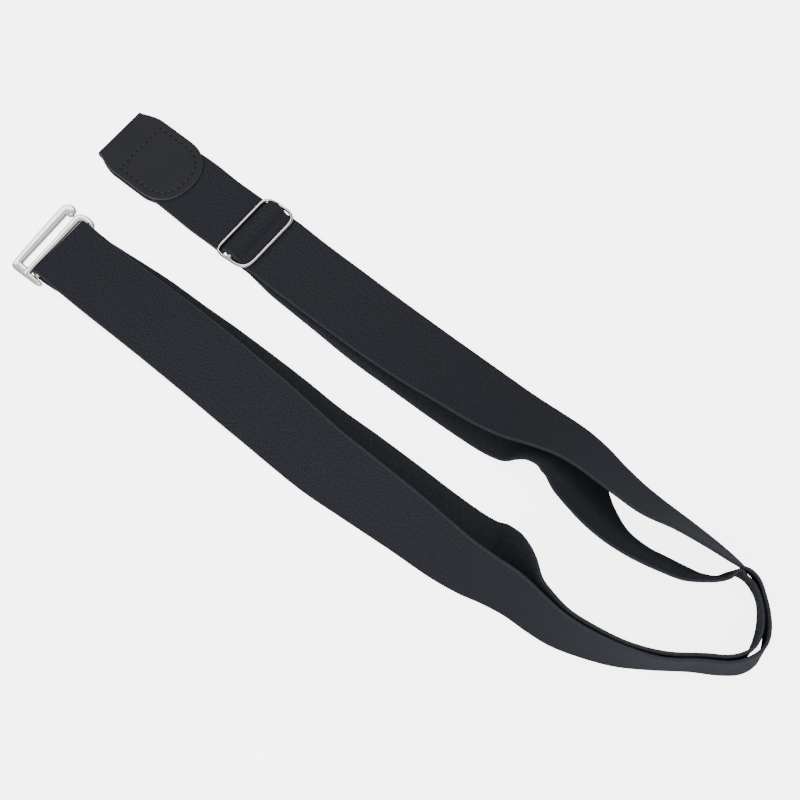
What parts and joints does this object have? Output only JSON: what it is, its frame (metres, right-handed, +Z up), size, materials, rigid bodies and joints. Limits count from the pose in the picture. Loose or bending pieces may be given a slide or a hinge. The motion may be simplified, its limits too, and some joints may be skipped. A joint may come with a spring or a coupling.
{
  "type": "shirt stay",
  "caption": "Adjustable elastic belt that keeps a shirt tucked in, lying as a doubled loop, with a wire slider, a hook buckle and a leather tab",
  "frame": {"origin": "under the middle of the whole, on the table", "axes": "X runs along the arms from the buckle to the bend, Y across the arms towards the slider's arm, Z up"},
  "size_m": [0.339, 0.092, 0.0301],
  "materials": {
    "webbing": "woven elastic, matt, near black",
    "nickel": "polished nickel plate",
    "leather": "smooth, black, matt"
  },
  "bodies": {
    "root": {"elastic_strap": "webbing", "wire_slider": "nickel", "hook_buckle": "nickel", "leather_tab": "leather"}
  },
  "joints": []
}
